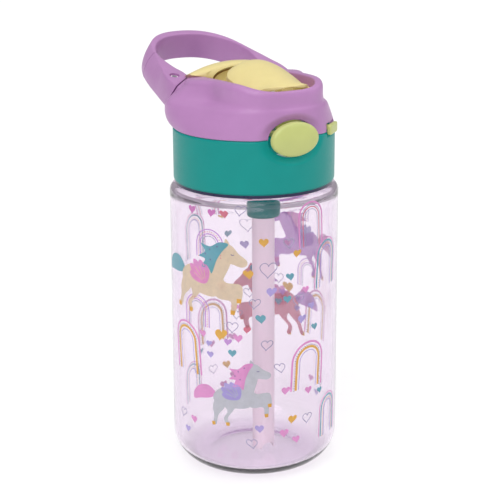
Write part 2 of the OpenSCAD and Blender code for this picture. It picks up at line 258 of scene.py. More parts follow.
def boolean(piece, cutter, operation="DIFFERENCE"):
    """Applies a boolean with a cutter, which is then removed."""
    modifier = piece.modifiers.new("cut", "BOOLEAN")
    modifier.operation = operation
    modifier.solver = "EXACT"
    modifier.object = cutter
    apply_modifiers(piece)
    bpy.data.objects.remove(cutter)


def apply_modifiers(piece):
    bpy.context.view_layer.update()
    graph = bpy.context.evaluated_depsgraph_get()
    mesh = bpy.data.meshes.new_from_object(piece.evaluated_get(graph))
    piece.modifiers.clear()
    piece.data = mesh


def moulded(name, node, material, body, voxel, rounds, keep):
    """A CAD node with all its edges rounded, as moulded plastic has them. voxel is in
    millimetres, and keep is the share of the faces that is left."""
    piece = bpy.data.objects.new(name, NODES[node].data.copy())
    bpy.context.scene.collection.objects.link(piece)
    recolour(piece, material)
    with editing(piece) as bm:
        bmesh.ops.remove_doubles(bm, verts=bm.verts, dist=1e-6)
    remesh = piece.modifiers.new("round", "REMESH")
    remesh.mode = "VOXEL"
    remesh.voxel_size = voxel * MM
    soften = piece.modifiers.new("soften", "SMOOTH")
    soften.factor = 0.5
    soften.iterations = rounds
    thin = piece.modifiers.new("thin", "DECIMATE")
    thin.ratio = keep
    apply_modifiers(piece)
    recolour(piece, material)
    piece.data.shade_smooth()
    settle(piece, body, (node,))
    return piece


# ---------- materials ----------

def tone(r, g, b):
    """Linear colour of an sRGB colour given in 0 to 255."""
    return tuple((c / 255 / 12.92 if c <= 10 else ((c / 255 + 0.055) / 1.055) ** 2.4)
                 for c in (r, g, b)) + (1.0,)


def put(node, **values):
    """Sets a shader node's inputs. An underscore stands for a space in their names."""
    for name, value in values.items():
        node.inputs[name.replace("_", " ")].default_value = value


# nearly all of a noise texture's values lie between these
NOISE_LOW, NOISE_HIGH = 0.3, 0.7


def noise(tree, scale, detail, roughness=0.55):
    place = tree.nodes.new("ShaderNodeTexCoord")
    cells = tree.nodes.new("ShaderNodeTexNoise")
    put(cells, Scale=scale, Detail=detail, Roughness=roughness)
    tree.links.new(place.outputs["Object"], cells.inputs["Vector"])
    return cells


def vary_colour(tree, surface, cells, low, high):
    """Lets a noise texture vary the colour from low to high."""
    tint = tree.nodes.new("ShaderNodeValToRGB")
    for stop, position, colour in zip(tint.color_ramp.elements, (NOISE_LOW, NOISE_HIGH), (low, high)):
        stop.position = position
        stop.color = colour
    tree.links.new(cells.outputs["Fac"], tint.inputs["Fac"])
    tree.links.new(tint.outputs["Color"], surface.inputs["Base Color"])


def vary_face(tree, surface, cells, low, high, strength, depth):
    """Lets a noise texture vary the roughness from low to high and raise a fine relief."""
    gloss = tree.nodes.new("ShaderNodeMapRange")
    put(gloss, From_Min=NOISE_LOW, From_Max=NOISE_HIGH, To_Min=low, To_Max=high)
    tree.links.new(cells.outputs["Fac"], gloss.inputs["Value"])
    tree.links.new(gloss.outputs["Result"], surface.inputs["Roughness"])
    dents = tree.nodes.new("ShaderNodeBump")
    put(dents, Strength=strength, Distance=depth)
    tree.links.new(cells.outputs["Fac"], dents.inputs["Height"])
    tree.links.new(dents.outputs["Normal"], surface.inputs["Normal"])


def shade(colour, by):
    return tuple(min(1.0, c * by) for c in colour[:3]) + (1.0,)


def base_material(name):
    material = bpy.data.materials.new(name)
    material.use_nodes = True
    tree = material.node_tree
    return material, tree, tree.nodes["Principled BSDF"]


def plastic(name, colour, rough=0.36, grain=900, bump=0.03, specular=0.5, subsurface=0.0,
            vary=0.05):
    """Moulded plastic: faint flow marks in its colour, fine mould texture in its gloss."""
    material, tree, surface = base_material(name)
    vary_colour(tree, surface, noise(tree, 55, 3), shade(colour, 1 - vary), shade(colour, 1 + vary))
    vary_face(tree, surface, noise(tree, grain, 5), rough - 0.05, rough + 0.06, bump, 0.0004)
    put(surface, Specular_IOR_Level=specular, Subsurface_Weight=subsurface,
        Subsurface_Radius=(0.0012, 0.0010, 0.0011), Subsurface_Scale=1.0)
    return material


def clear_plastic(name, colour, absorb, density, rough=0.04):
    """Clear tinted plastic: the thicker it is, the deeper its colour."""
    material, tree, surface = base_material(name)
    put(surface, Base_Color=colour, Transmission_Weight=1.0, IOR=1.5)
    vary_face(tree, surface, noise(tree, 40, 2), rough * 0.6, rough * 1.5, 0.05, 0.0006)
    inside = tree.nodes.new("ShaderNodeVolumeAbsorption")
    put(inside, Color=absorb, Density=density)
    tree.links.new(inside.outputs["Volume"], tree.nodes["Material Output"].inputs["Volume"])
    return material


def ink(name, colour):
    """Screen-printed ink: slightly uneven cover and a satin face. It lets some light
    through, so that the print at the back does not look black from the front."""
    material, tree, surface = base_material(name)
    blots = noise(tree, 260, 6, 0.7)
    vary_colour(tree, surface, blots, shade(colour, 0.9), shade(colour, 1.12))
    vary_face(tree, surface, blots, 0.35, 0.55, 0.15, 0.0002)
    put(surface, Subsurface_Weight=0.4, Subsurface_Radius=(0.001, 0.001, 0.001),
        Subsurface_Scale=1.0)
    return material


def metal(name, colour, rough=0.28):
    material = plastic(name, colour, rough, grain=2500, bump=0.05)
    put(material.node_tree.nodes["Principled BSDF"], Metallic=1.0)
    return material


TEAL = plastic("moulded_teal", tone(0, 136, 130), rough=0.36, vary=0.04, specular=0.25)
PURPLE = plastic("moulded_purple", tone(174, 125, 176), rough=0.38, specular=0.4)
YELLOW = plastic("moulded_yellow", tone(222, 206, 142), rough=0.38, subsurface=0.10)
GREEN = plastic("moulded_green", tone(186, 192, 118), rough=0.36, subsurface=0.08)
CLEAR = clear_plastic("clear_tinted", (0.99, 0.975, 0.99, 1), (0.52, 0.19, 0.60, 1), 60)
MILKY = plastic("milky_tube", tone(240, 224, 232), rough=0.42, subsurface=0.25, vary=0.03)
SILICONE = plastic("soft_silicone", tone(226, 224, 228), rough=0.5, grain=1500, subsurface=0.3)
STEEL = metal("spring_steel", tone(196, 198, 202))
# painted shade: a darkened copy of the yellow for the shadowed hinge recess
PAINTED_SHADE_YELLOW = plastic("shaded_yellow", tone(122, 84, 22), rough=0.45)
# painted shadow: near-black navy for the shade under the collar
PAINTED_SHADOW_NAVY = plastic("shadow_line", tone(14, 14, 62), rough=0.3)
DARK_TEAL = plastic("moulded_teal_stem", tone(0, 116, 112), rough=0.3, specular=0.3)


# ---------- camera, lights, floor ----------

def camera():
    """Stands in front and to the left, a little above, and looks slightly down."""
    azimuth, distance, height = math.radians(-29.2), 600 * MM, 275 * MM
    pitch, aim_left, roll = math.radians(16.46), math.radians(0.18), -0.0039
    data = bpy.data.cameras.new("camera")
    data.lens = 100
    data.sensor_width = 36
    data.clip_start = 0.01
    eye = bpy.data.objects.new("camera", data)
    place = (math.sin(azimuth) * distance, -math.cos(azimuth) * distance, height)
    eye.matrix_world = (Matrix.Translation(place)
                        @ Matrix.Rotation(azimuth + aim_left, 4, "Z")
                        @ Matrix.Rotation(math.radians(90) - pitch, 4, "X")
                        @ Matrix.Rotation(roll, 4, "Z"))
    bpy.context.scene.collection.objects.link(eye)
    bpy.context.scene.camera = eye


def sun(name, direction, strength, width, shadow=True):
    """A wide, even light. width is the angle that its disc fills, in degrees."""
    data = bpy.data.lights.new(name, "SUN")
    data.energy = strength
    data.angle = math.radians(width)
    data.use_shadow = shadow
    lamp = bpy.data.objects.new(name, data)
    lamp.rotation_euler = Vector(direction).to_track_quat("-Z", "Y").to_euler()
    bpy.context.scene.collection.objects.link(lamp)


def studio():
    """Only the key light casts shadows, so that the others reach the inside of the bottle."""
    world = bpy.data.worlds.new("studio")
    bpy.context.scene.world = world
    world.use_nodes = True
    put(world.node_tree.nodes["Background"], Color=(1.0, 1.0, 1.0, 1), Strength=0.42)
    sun("key", (0.75, 0.72, -1.0), 0.55, 50)
    sun("key_inside", (0.75, 0.72, -1.0), 0.95, 50, shadow=False)
    sun("fill", (-0.9, 0.35, -0.8), 0.55, 60, shadow=False)
    sun("top", (0.0, 0.1, -1.0), 1.0, 70, shadow=False)
    bpy.context.scene.view_settings.view_transform = "Standard"
    material, tree, surface = base_material("floor_white")
    vary_colour(tree, surface, noise(tree, 30, 3), (0.93, 0.93, 0.93, 1), (0.95, 0.95, 0.95, 1))
    put(surface, Roughness=0.7, Specular_IOR_Level=0.2)
    size, below_base = 6.0, 0.0002
    mesh = bpy.data.meshes.new("floor")
    mesh.from_pydata([(-size, -size, 0), (size, -size, 0), (size, size, 0), (-size, size, 0)],
                     [], [(0, 1, 2, 3)])
    mesh.materials.append(material)
    floor = bpy.data.objects.new("floor", mesh)
    floor.location.z = -below_base
    bpy.context.scene.collection.objects.link(floor)


# ---------- bottle ----------

def bottle():
    inner_r = BODY_R - WALL
    inner_round = 9
    neck_in = NECK_R - 2.2
    outer = [(0, 0.5), (8, 0.5), (14, 0.45), (17.5, 0.3), (19.5, 0.1), (20.8, 0)]
    outer += arc(BODY_R - BASE_ROUND, BASE_ROUND, BASE_ROUND, -90, 0, 20)
    outer += [(BODY_R, z) for z in spread(BASE_ROUND + 4, SIDE_TOP - 3, 26)]
    outer += arc(BODY_R - 3.5, SIDE_TOP, 3.5, 0, 78, 10)
    outer += [(NECK_R + 1, SIDE_TOP + 3.6), (NECK_R, SIDE_TOP + 4.2)]
    outer += [(NECK_R, NECK_TOP - 0.5), (NECK_R - 0.4, NECK_TOP)]
    inner = [(neck_in + 0.4, NECK_TOP), (neck_in, NECK_TOP - 0.5), (neck_in, SIDE_TOP + 3.4)]
    inner += [(neck_in + 0.5, SIDE_TOP + 2.6), (inner_r - 1.2, SIDE_TOP + 0.6),
              (inner_r - 0.3, SIDE_TOP - 0.8), (inner_r, SIDE_TOP - 2.4)]
    inner += [(inner_r, z) for z in spread(SIDE_TOP - 5, FLOOR + inner_round + 2, 24)]
    inner += arc(inner_r - inner_round, FLOOR + inner_round, inner_round, 0, -90, 16)
    inner += [(25.9, FLOOR - 0.2), (25.2, FLOOR - 0.4), (16, FLOOR - 0.45), (0, FLOOR - 0.5)]
    shell = lathe(outer + inner, 288, closed=False)
    make("bottle_shell", *shell, CLEAR, "bottle", "clear_plastic", ("bottle_body",), sharp=50)
    make("neck_thread", *thread(), CLEAR, "bottle", "clear_plastic", sharp=60)


def thread(turns=1.75, lead=4.5, steps=96):
    """The ridge that the collar screws on, run out at both ends."""
    low = NECK_TOP - 12.4
    root, crest = NECK_R - 0.3, NECK_R + 1.25
    run_out = 8
    count = int(turns * steps)
    rings = []
    for i in range(count + 1):
        a = 2 * math.pi * i / steps
        full = min(1, min(i, count - i) / run_out)
        r = mix(root, crest, 0.15 + 0.85 * full)
        z = low + lead * i / steps
        rings.append([(q * math.cos(a), q * math.sin(a), z + h)
                      for q, h in ((root, -1), (r - 0.2, -0.55), (r, -0.35),
                                   (r, 0.35), (r - 0.2, 0.55), (root, 1))])
    return tube(rings)


# ---------- print on the bottle ----------

INK_THICK = 0.05
INK_GAP = 0.02
LAYER = 0.04


def wrap(u, v, at, z, r):
    """A point of flat artwork, u across and v up, bent round the bottle."""
    a = math.radians(at) + u / BODY_R
    return (r * math.sin(a), -r * math.cos(a), z + v)


def turned(points, degrees, size=1.0, mirror=False):
    c, s = math.cos(math.radians(degrees)), math.sin(math.radians(degrees))
    side = -1 if mirror else 1
    return [(side * size * (x * c - y * s), size * (x * s + y * c)) for x, y in points]


def closed_curve(points, steps=5):
    """A smooth closed outline through a few points."""
    out = []
    n = len(points)
    for i in range(n):
        p = [Vector(points[(i + k - 1) % n]) for k in range(4)]
        for j in range(steps):
            t = j / steps
            out.append(tuple(0.5 * (2 * p[1] + (p[2] - p[0]) * t
                                    + (2 * p[0] - 5 * p[1] + 4 * p[2] - p[3]) * t * t
                                    + (3 * p[1] - p[0] - 3 * p[2] + p[3]) * t ** 3)))
    return out


def filled(outlines, at, z, layer):
    """A thin curved plate of ink over the union of flat outlines, with extra points
    inside them so that it can bend."""
    pitch = 2.2
    corners, edges = [], []
    for outline in outlines:
        start = len(corners)
        corners += [Vector(p) for p in outline]
        n = len(outline)
        edges += [(start + i, start + (i + 1) % n) for i in range(n)]
    xs = [c.x for c in corners]
    ys = [c.y for c in corners]
    extra = []
    for i in range(int((max(xs) - min(xs)) / pitch) + 1):
        for j in range(int((max(ys) - min(ys)) / pitch) + 1):
            p = Vector((min(xs) + pitch * (i + 0.5), min(ys) + pitch * (j + 0.5)))
            if any(inside(p, o) for o in outlines):
                extra.append(p)
    flat, _, faces, *_ = delaunay_2d_cdt(corners + extra, edges, [], 1, 1e-4)
    return plate([tuple(p) for p in flat], [tuple(f) for f in faces], at, z, layer)


def inside(p, outline):
    """Whether p is inside a flat outline."""
    hit = False
    n = len(outline)
    for i in range(n):
        (x0, y0), (x1, y1) = outline[i], outline[(i + 1) % n]
        if (y0 > p.y) != (y1 > p.y) and p.x < (x1 - x0) * (p.y - y0) / (y1 - y0) + x0:
            hit = not hit
    return hit


def plate(flat, faces, at, z, layer):
    """Both faces and the sides of a flat mesh bent round the bottle."""
    low = BODY_R + INK_GAP + LAYER * layer
    high = low + INK_THICK
    n = len(flat)
    points = [wrap(u, v, at, z, low) for u, v in flat]
    points += [wrap(u, v, at, z, high) for u, v in flat]
    out = [tuple(i + n for i in f) for f in faces] + [tuple(reversed(f)) for f in faces]
    count = {}
    for f in faces:
        for i in range(len(f)):
            edge = (f[i], f[(i + 1) % len(f)])
            count[edge] = count.get(edge, 0) + 1
    for a, b in count:
        if (b, a) not in count:
            out.append((a, b, b + n, a + n))
    return points, out


def band(path, width, at, z, layer, closed=False):
    """A stripe of ink along a flat path. width is a number or a function of 0 to 1."""
    n = len(path)
    flat = []
    for i in range(n):
        before = Vector(path[i - 1]) if i or closed else Vector(path[0])
        after = Vector(path[(i + 1) % n]) if i < n - 1 or closed else Vector(path[-1])
        along = (after - before).normalized()
        w = (width(i / (n - 1)) if callable(width) else width) / 2
        side = Vector((-along.y, along.x)) * w
        p = Vector(path[i])
        flat += [tuple(p - side), tuple(p + side)]
    faces = []
    for i in range(n if closed else n - 1):
        k = (i + 1) % n
        faces.append((2 * i, 2 * k, 2 * k + 1, 2 * i + 1))
    return plate(flat, faces, at, z, layer)


def heart_outline(size, lean=0.0):
    """A heart about size wide, its lobes slightly uneven when it leans."""
    out = []
    for t in angles_round(28):
        x = math.sin(t) ** 3
        y = (13 * math.cos(t) - 5 * math.cos(2 * t) - 2 * math.cos(3 * t) - math.cos(4 * t)) / 16
        out.append((size / 2 * (x + lean * 0.25 * y), size / 2 * (y * 1.02)))
    return out


def heart(at, z, size, lean=0.0, layer=1):
    return filled([heart_outline(size, lean)], at, z, layer)


def heart_line(at, z, size, lean=0.0, layer=1):
    return band(heart_outline(size, lean), 0.34, at, z, layer, closed=True)


def arch_path(half, height, lean=0.0):
    """Up one side, over the top and down the other."""
    out = [(-half, v) for v in spread(0, height - half, 6)]
    out += [(-half * math.cos(math.radians(a)), height - half + half * math.sin(math.radians(a)))
            for a in spread(0, 180, 18)[1:-1]]
    out += [(half, v) for v in spread(height - half, 0, 6)]
    return [(u + lean * v, v) for u, v in out]


def dot(x, y, r):
    return [(x + r * math.cos(t), y + r * math.sin(t)) for t in angles_round(8)]


DOT_FACE = [tuple(range(8))]


def dotted(path, gap, r, at, z, layer):
    """Round dots of ink along a path."""
    shapes = []
    left = 0.0
    for a, b in zip(path, path[1:]):
        a, b = Vector(a), Vector(b)
        length = (b - a).length
        while left <= length:
            p = a + (b - a) * (left / length)
            shapes.append(plate(dot(p.x, p.y, r), DOT_FACE, at, z, layer))
            left += gap
        left -= length
    return joined(*shapes)


INKS = {
    "magenta": ink("ink_magenta", tone(186, 88, 164)), "rose": ink("ink_rose", tone(196, 84, 108)),
    "pink": ink("ink_pink", tone(212, 122, 186)), "gold": ink("ink_gold", tone(214, 150, 42)),
    "teal": ink("ink_teal", tone(64, 142, 160)), "lavender": ink("ink_lavender", tone(152, 136, 204)),
    "line": ink("ink_line", tone(136, 128, 164)), "cream": ink("ink_cream", tone(208, 182, 150)),
    "grey": ink("ink_grey", tone(170, 172, 182)), "violet": ink("ink_violet", tone(180, 120, 200)),
    "dark": ink("ink_dark", tone(74, 58, 122))}
PRINT = {name: [] for name in INKS}
HEARTS = [
    ("magenta", -74, 124, 3.4), ("magenta", -58, 124, 3.2), ("rose", -49, 124, 3.2),
    ("line", -38, 126, 4), ("gold", -23, 112, 3.6), ("line", -6, 111, 4), ("gold", 0, 106, 3.2),
    ("gold", -33, 98, 3.8), ("line", -20, 100, 6.2), ("pink", -51, 92, 3.2), ("teal", -5, 96, 3.2),
    ("lavender", -18, 90, 3.8), ("pink", 7, 89, 3), ("teal", -7, 86, 3.2), ("line", 1, 85, 4.6),
    ("lavender", 12, 81, 3), ("line", -29, 85, 4), ("pink", -42, 83, 3), ("teal", -25, 78, 3.8),
    ("lavender", 4, 76, 3.6), ("teal", 15, 71, 3), ("line", -44, 74, 4.4), ("rose", -34, 73, 2.8),
    ("pink", -66, 69, 3), ("gold", -52, 70, 4.8), ("pink", -40, 69, 3.4), ("lavender", -26, 27, 3.4),
    ("gold", -3, 30, 3.6), ("line", -31, 20, 4), ("line", 9, 29, 4.2), ("pink", -9, 24, 3.6),
    ("pink", 0, 20, 3.2), ("lavender", -61, 65, 2.6), ("lavender", -60, 60, 2.8),
    ("teal", -44, 62, 3.2), ("line", -21, 66, 4.2), ("line", -12, 55, 4), ("pink", -8, 44, 3.4),
    ("pink", 10, 42, 3.2), ("teal", 21, 40, 2.8), ("line", -87, 28, 3.8), ("pink", -75, 27, 3.2),
    ("lavender", -82, 21, 3), ("violet", -47, 67, 3)]
REPEAT = 176  # degrees from the print in front to its copy at the back
HEART_SCALE = 1.2


def lay(name, shape):
    """Adds a shape to the print in one ink."""
    PRINT[name].append(shape)


def rainbow(at, z, half, height, lean, bands):
    """An arch of stripes, outermost first, given as (ink, width or "dots", gap inside)."""
    dot_gap, dot_r = 1.15, 0.27
    r = half
    for colour, width, gap in bands:
        path = arch_path(r, height - (half - r), lean)
        if width == "dots":
            lay(colour, dotted(path, dot_gap, dot_r, at, z, 2))
            r -= 0.55 + gap
        else:
            lay(colour, band(path, width, at, z, 1))
            r -= width + gap


PINK_BOW = (("pink", 0.8, 0.5), ("line", 0.25, 0.5), ("rose", 0.45, 0.6), ("line", 0.25, 0.3))
TEAL_BOW = (("pink", 0.5, 0.7), ("teal", 0.75, 0.6), ("gold", "dots", 0.3), ("lavender", 0.5, 0.3))
GOLD_BOW = (("pink", 0.95, 0.45), ("dark", "dots", 0.35), ("gold", 1.1, 0.4), ("lavender", 0.35, 0.3))
FINE_BOW = (("violet", 0.5, 0.5), ("rose", "dots", 0.4), ("violet", 0.5, 0.5), ("line", 0.3, 0.3))


def feather(root, degrees, length, width):
    """One rounded feather of a wing."""
    shape = [(0, 0), (0.3, 0.42), (0.75, 0.5), (1, 0), (0.75, -0.5), (0.3, -0.42)]
    turned_shape = turned([(u * length, v * width) for u, v in shape], degrees)
    return closed_curve([(x + root[0], y + root[1]) for x, y in turned_shape], 4)


def pony(at, z, size, coat, hair, plume, lean=0.0):
    """A plain little winged pony jumping to the right."""
    wing_x, wing_y = 2.2, -0.4

    def at_size(points):
        return turned(points, lean, size)

    def closed(points):
        return closed_curve(at_size(points), 4)
    body = [
        closed([(-8.8, 1.5), (-5, 4.4), (0, 3.6), (4.5, 4.6), (8, 3), (8.4, -1.5), (5.4, -4.4),
                (0, -4.4), (-5, -3.6), (-8.6, -2)]),
        closed([(1.6, 2.6), (4.4, 7), (6.8, 11.5), (9.8, 12.6), (10.6, 8.4), (8.9, 3.5), (6.6, -1)]),
        closed([(6.8, 11.6), (8.2, 13.8), (10.6, 13.8), (13, 11.4), (15.6, 9.6), (15.9, 7.9),
                (14.2, 7), (11.6, 7.6), (9.4, 8.2)]),
        closed([(8, 13.2), (8.4, 16), (10, 13.6)]),
        closed([(-7.8, 0), (-9.8, -4), (-9.6, -7.4), (-10.4, -11), (-9, -11.4), (-7.6, -7.4),
                (-5, -4.6), (-4, -2)]),
        closed([(-5, -2), (-3.4, -5.6), (-5.4, -8.8), (-4.2, -11.6), (-2.8, -11.2), (-3.6, -8.6),
                (-1, -5.4), (0, -3)]),
        closed([(4.6, 1), (8.6, -1.6), (12.6, -0.6), (13.4, -4.6), (14.9, -4.5), (14.6, 0.9),
                (9.5, 1.2), (7.4, 3)]),
        closed([(3.4, -2), (7.2, -4.6), (11.4, -5), (11.6, -8.8), (13.1, -8.8), (13.3, -3.6),
                (8, -2.4), (6.6, 0)])]
    lay(coat, filled(body, at, z, 2))
    lay(hair, filled([closed([(-8, 2.6), (-11, 5.2), (-15.5, 4.8), (-18.8, 2), (-19.4, -1.4),
                              (-15.6, -0.8), (-12, -0.4), (-8.8, 0.6)])], at, z, 1))
    lay(hair, filled([closed([(9.4, 14.2), (6.2, 14.4), (3, 12.4), (-0.6, 12.8), (1.2, 10.4),
                              (-1.2, 8.4), (1.4, 7.8), (0.2, 5), (2.8, 5), (4.2, 3.4),
                              (5.6, 8), (7.4, 11.4)])], at, z, 3))
    fan = [feather((wing_x, wing_y), a, l, 2.9) for a, l in ((96, 6.4), (112, 8), (129, 9),
                                                        (146, 8.8), (163, 7.6))]
    lay(plume, filled([turned(f, lean, size) for f in fan], at, z, 3))
    for a, l in ((104, 4.6), (121, 6), (138, 6.6), (155, 5.8)):
        c, q = math.cos(math.radians(a)), math.sin(math.radians(a))
        line = at_size([(wing_x + c * k, wing_y + q * k) for k in spread(1.6, l, 3)])
        lay(coat, band(line, 0.22, at, z, 4))
    lay("dark", band(at_size([(10.4, 11), (10.9, 10.7), (11.5, 10.9)]), 0.3, at, z, 4))
    for x, y in ((-10.2, -11), (-3.9, -11.2), (14.1, -4.4), (12.3, -8.6)):
        hoof = [(x - 0.8, y + 0.7), (x + 0.8, y + 0.7), (x + 0.7, y - 0.8), (x - 0.7, y - 0.8)]
        lay("gold", filled([at_size(hoof)], at, z, 3))
    for x, y in ((3, 11.4), (1.4, 9.6), (3.4, 8), (5.6, 12.8)):
        lay("dark", plate(at_size(dot(x, y, 0.27)), DOT_FACE, at, z, 4))


def prints():
    """All the artwork, most of it twice round the bottle."""
    for turn in (0, REPEAT):
        for i, (colour, at, z, size) in enumerate(HEARTS):
            draw = heart_line if colour == "line" else heart
            lay(colour, draw(at + turn, z, size * HEART_SCALE, math.sin(i * 2.4)))
        rainbow(at=12 + turn, z=108, half=6.6, height=19.5, lean=-0.04, bands=PINK_BOW)
        rainbow(at=26 + turn, z=88, half=7.4, height=21.5, lean=0.06, bands=TEAL_BOW)
        rainbow(at=-60 + turn, z=104, half=6.6, height=12.4, lean=0, bands=FINE_BOW)
        rainbow(at=-71 + turn, z=72, half=6.8, height=14, lean=0, bands=FINE_BOW)
        rainbow(at=-80 + turn, z=49, half=8.2, height=23, lean=-0.08, bands=GOLD_BOW)
        rainbow(at=9 + turn, z=43, half=8.6, height=21.5, lean=0.05, bands=GOLD_BOW)
        rainbow(at=31 + turn, z=17, half=6.8, height=19.5, lean=0.04, bands=TEAL_BOW)
    pony(-67, 93, 1.32, "cream", "teal", "pink", -4)
    pony(-43, 41, 1.08, "grey", "pink", "lavender", 6)
    pony(-67 + REPEAT, 93, 1.32, "violet", "pink", "lavender", -4)
    pony(-43 + REPEAT, 61, 1.32, "rose", "violet", "pink", -6)
    for name, shapes in PRINT.items():
        make("print_" + name, *joined(*shapes), INKS[name], "bottle", sharp=30)


# ---------- collar and lid ----------

SINK = 1.7
COLLAR_GAP, LID_GAP = 0.45, 0.42
COLLAR_NOTCH, LID_NOTCH = 1.6, 3.6


def dish(t, x, z):
    """How far the surface at angle t sinks round the button, in millimetres."""
    if abs(t) >= FRONT:
        return 0
    d = math.hypot(x / (BUTTON_A + 0.6), (z - BUTTON_Z) / (BUTTON_B + 0.6)) - 1
    d *= (BUTTON_A + BUTTON_B) / 2
    return SINK * (1 - smooth(d / 3.8)) if d > 0 else SINK


def button_edge(t, x, gap):
    """Height of the button's opening above its middle at x, or 0 beside it."""
    a, b = BUTTON_A + gap, BUTTON_B + gap
    return b * math.sqrt(1 - (x / a) ** 2) if abs(t) < FRONT and abs(x) < a else 0.0


def around(fine_at, coarse=1.5, fine=0.3, reach=3.5):
    """Angles round the bottle, closer together near some of them."""
    out, t = [], -180.0
    while t < 180 - 1e-6:
        out.append(t)
        near = any(abs(t - f) < reach for f in fine_at)
        t += fine if near else coarse
    return out


NOTCH_AT, NOTCH_HALF = LOCK_AT + 2.7, 11.9
BUTTON_EDGE_AT = math.degrees(math.asin((BUTTON_A + 0.5) / COLLAR_R))
ANGLES = around((-BUTTON_EDGE_AT, BUTTON_EDGE_AT, NOTCH_AT - NOTCH_HALF, NOTCH_AT + NOTCH_HALF))


def notch(t, soft=0.35):
    """1 inside the lock's notch, 0 outside it."""
    return 1 - smooth((abs(t - NOTCH_AT) - NOTCH_HALF) / soft)


def ring_solid(columns):
    """A closed ring from one closed profile per angle."""
    rows = len(columns[0])
    points = [p for column in columns for p in column]
    faces = grid(len(columns), rows, wrap_rows=True, wrap_columns=True)
    return points, faces


def polar(r, t, z):
    a = math.radians(t)
    return (r * math.sin(a), -r * math.cos(a), z)


def collar():
    web_r, window_r = NECK_R + 2.0, 31.6
    columns = []
    for t in ANGLES:
        x = COLLAR_R * math.sin(math.radians(t))
        opening = button_edge(t, x, COLLAR_GAP)
        top = SEAM_Z - opening - COLLAR_NOTCH * notch(t)
        skin = arc(COLLAR_R - 1.4, COLLAR_Z + 1.4, 1.4, -90, 0, 8)
        skin += [(COLLAR_R, z) for z in spread(COLLAR_Z + 2.4, top - 0.5, 30)]
        profile = [(r - dish(t, x, z), z) for r, z in skin]
        edge = COLLAR_R - dish(t, x, top)
        profile += [(edge - 0.06, top - 0.25), (edge - 0.25, top - 0.06), (edge - 0.5, top)]
        inner = window_r if opening > 0 else web_r
        profile += [(mix(edge, inner, 0.5), top), (inner, top)]
        profile += [(inner, mix(top, COLLAR_Z, s)) for s in (0.25, 0.5, 0.75)]
        profile += [(NECK_R + 1.9, COLLAR_Z + 0.3), (NECK_R + 2.2, COLLAR_Z)]
        columns.append([polar(r, t, z) for r, z in profile])
    # the web inside the collar that closes the bottle's mouth
    low, high = NECK_TOP + 2, NECK_TOP + 4.6
    deck = lathe([(0, low), (web_r, low), (web_r, high), (0, high)], 96, closed=False)
    # a dark ring just below the collar: painted shadow standing in for the shade under the collar's
    # edge
    lip = [(NECK_R + 1.4, COLLAR_Z - 0.9), (COLLAR_R - 1.3, COLLAR_Z - 1.3),
           (COLLAR_R - 0.7, COLLAR_Z - 1.1), (COLLAR_R - 0.7, COLLAR_Z + 0.8),
           (NECK_R + 1.4, COLLAR_Z + 0.8)]
    make("collar_painted_shadow_ring", *lathe(lip, 192), PAINTED_SHADOW_NAVY, "cap", "teal_plastic")
    make("collar_shell", *joined(ring_solid(columns), deck), TEAL, "cap", "teal_plastic",
         ("screw_collar",), 42)


CREST = 177.0
RIM_A, RIM_B, RIM_N = 23.2, 33.0, 3.3
OPEN_A, OPEN_B, OPEN_Y, OPEN_N = 18.3, 26, -5, 3.4
# height, share of the way from the round foot to the oval rim, radius of the back
LID_TABLE = [
    (155, 0, LID_R), (157, 0.06, 37.4), (159.5, 0.14, 38.5), (162, 0.24, 38.9),
    (164.5, 0.36, 38.8), (166.3, 0.47, 38.4), (167.2, 0.60, 37.8), (168.3, 0.83, 36.9),
    (169.6, 0.94, 35.6), (171.5, 0.99, 33.6), (173.5, 1, 31.4), (175.3, 1, 29.4),
    (176.7, 1, 26.5)]
front_share = curve_through(LID_TABLE, 1)
back_radius = curve_through(LID_TABLE, 2)


def rim_z(y):
    """Height of the lid's rim, which slopes down to the back and drops at the front."""
    return 176.8 - 0.06 * y - 0.0016 * y * y - 0.012 * max(0, -18 - y) ** 2


def lid_radius(t, z):
    """Radius of the lid's outside, before its rim lifts or drops."""
    front = mix(LID_R, oval_radius(RIM_A, RIM_B, RIM_N, t), front_share(z))
    return mix(front, back_radius(z), smooth((abs(t) - 72) / 45))


def lid_skin(t, z):
    """lid_radius() with the dish round the button taken off."""
    r = lid_radius(t, z)
    return r - 0.9 * dish(t, r * math.sin(math.radians(t)), z)


def open_radius(t):
    """Radius of the opening, whose middle is in front of the axis."""
    a = math.radians(t)
    low, high = 0.0, 40.0
    for _ in range(40):
        r = (low + high) / 2
        x, y = r * math.sin(a), -r * math.cos(a) - OPEN_Y
        if (abs(x) / OPEN_A) ** OPEN_N + (abs(y) / OPEN_B) ** OPEN_N < 1:
            low = r
        else:
            high = r
    return low


def lid_point(r, t, z):
    """A point of the lid, with everything near the rim lifted or dropped to follow it."""
    y = -r * math.cos(math.radians(t))
    return polar(r, t, z + smooth((z - 166) / 10) * (rim_z(y) - CREST))


